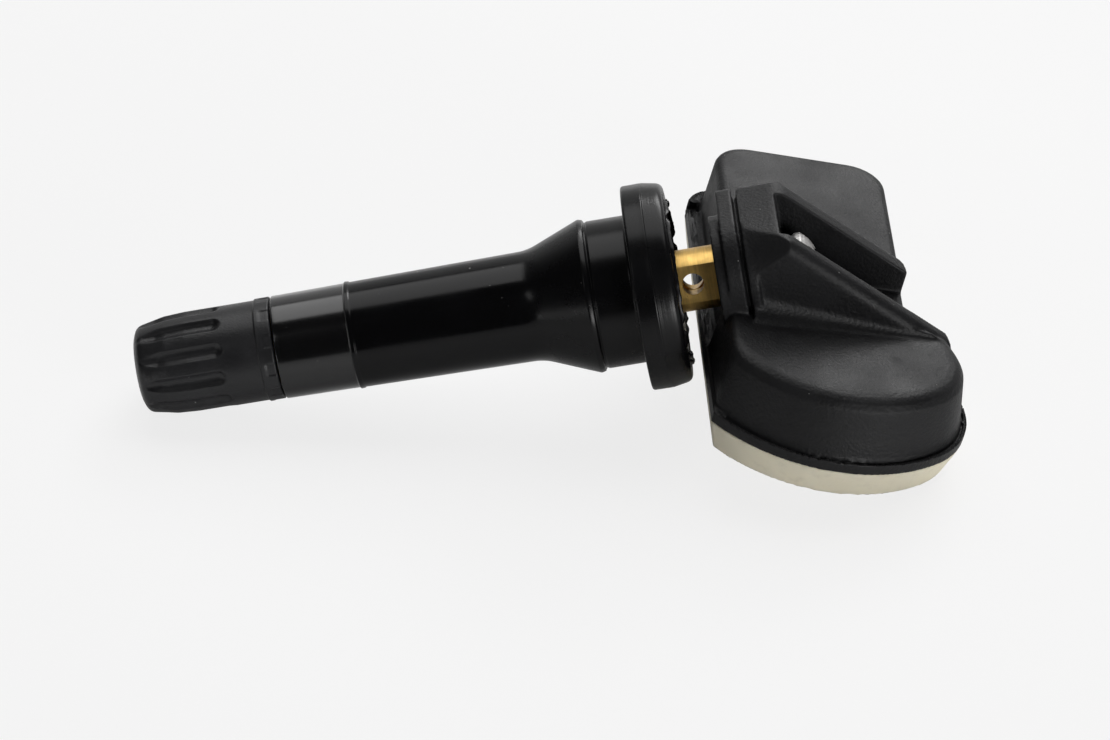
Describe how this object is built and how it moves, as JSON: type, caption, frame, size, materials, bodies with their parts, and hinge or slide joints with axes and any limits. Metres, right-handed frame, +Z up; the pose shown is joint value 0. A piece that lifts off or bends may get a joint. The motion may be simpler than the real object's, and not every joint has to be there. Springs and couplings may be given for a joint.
{
  "type": "tyre pressure sensor",
  "caption": "Snap-in rubber valve with a screwed dust cap and a tilted black sensor housing clamped to its brass tail, closed by a beige base cover.",
  "frame": {"origin": "centre of the flange face that bears on the inside of the rim, on the valve axis", "axes": "X along the valve axis with the dust cap toward -X and the sensor housing toward +X, +Z up through the top of the housing's tower, Y across the housing"},
  "size_m": [0.0769, 0.0418, 0.0283],
  "materials": {
    "cap_plastic": "satin",
    "seal_rubber": "matte",
    "stem_brass": "satin",
    "valve_rubber": "satin",
    "core_metal": "satin",
    "core_ring": "satin",
    "pin_brass": "satin",
    "spring_wire": "polished",
    "housing_plastic": "matte",
    "screw_steel": "polished",
    "cover_plastic": "matte",
    "board_laminate": "satin",
    "cell_steel": "satin",
    "tab_nickel": "satin",
    "chip_black": "matte",
    "seal_silicone": "matte",
    "ferrite": "matte",
    "crystal_can": "satin",
    "antenna_metal": "satin",
    "chip_ceramic": "matte"
  },
  "bodies": {
    "valve": {"stem_tube": "stem_brass", "stem_rubber": "valve_rubber", "core_barrel": "core_metal", "core_seal": "core_ring", "core_spring": "spring_wire", "housing_shell": "housing_plastic", "clamp_screw": "screw_steel", "base_cover": "cover_plastic", "circuit_board": "board_laminate", "battery_cell": "cell_steel", "battery_tab_top": "tab_nickel", "battery_tab_bottom": "tab_nickel", "sensor_chip": "chip_black", "port_seal": "seal_silicone", "radio_chip": "chip_black", "lf_coil": "ferrite", "crystal": "crystal_can", "antenna_loop": "antenna_metal", "chip_capacitors": "chip_ceramic"},
    "cap_carrier": {"cap_seal": "seal_rubber"},
    "cap": {"cap_shell": "cap_plastic"},
    "pin": {"core_pin": "pin_brass", "core_cup": "seal_rubber"}
  },
  "joints": [
    {"name": "cap_travel", "type": "slide", "parent": "valve", "child": "cap_carrier", "axis": [-1, 0, 0], "range_m": [0, 0.00953]},
    {"name": "cap_turn", "type": "hinge", "parent": "cap_carrier", "child": "cap", "pos_m": [-0.04, 0, 0], "axis": [-1, 0, 0], "range_deg": [0, 4320.5]},
    {"name": "pin_press", "type": "slide", "parent": "valve", "child": "pin", "axis": [1, 0, 0], "range_m": [0, 0.0012], "stiffness_N_per_m": 400, "springref_m": -0.001, "deforming": ["core_spring"]}
  ],
  "couplings": [
    {"joint": "cap_turn", "follows": "cap_travel", "rad_per_m": 7913.3}
  ]
}
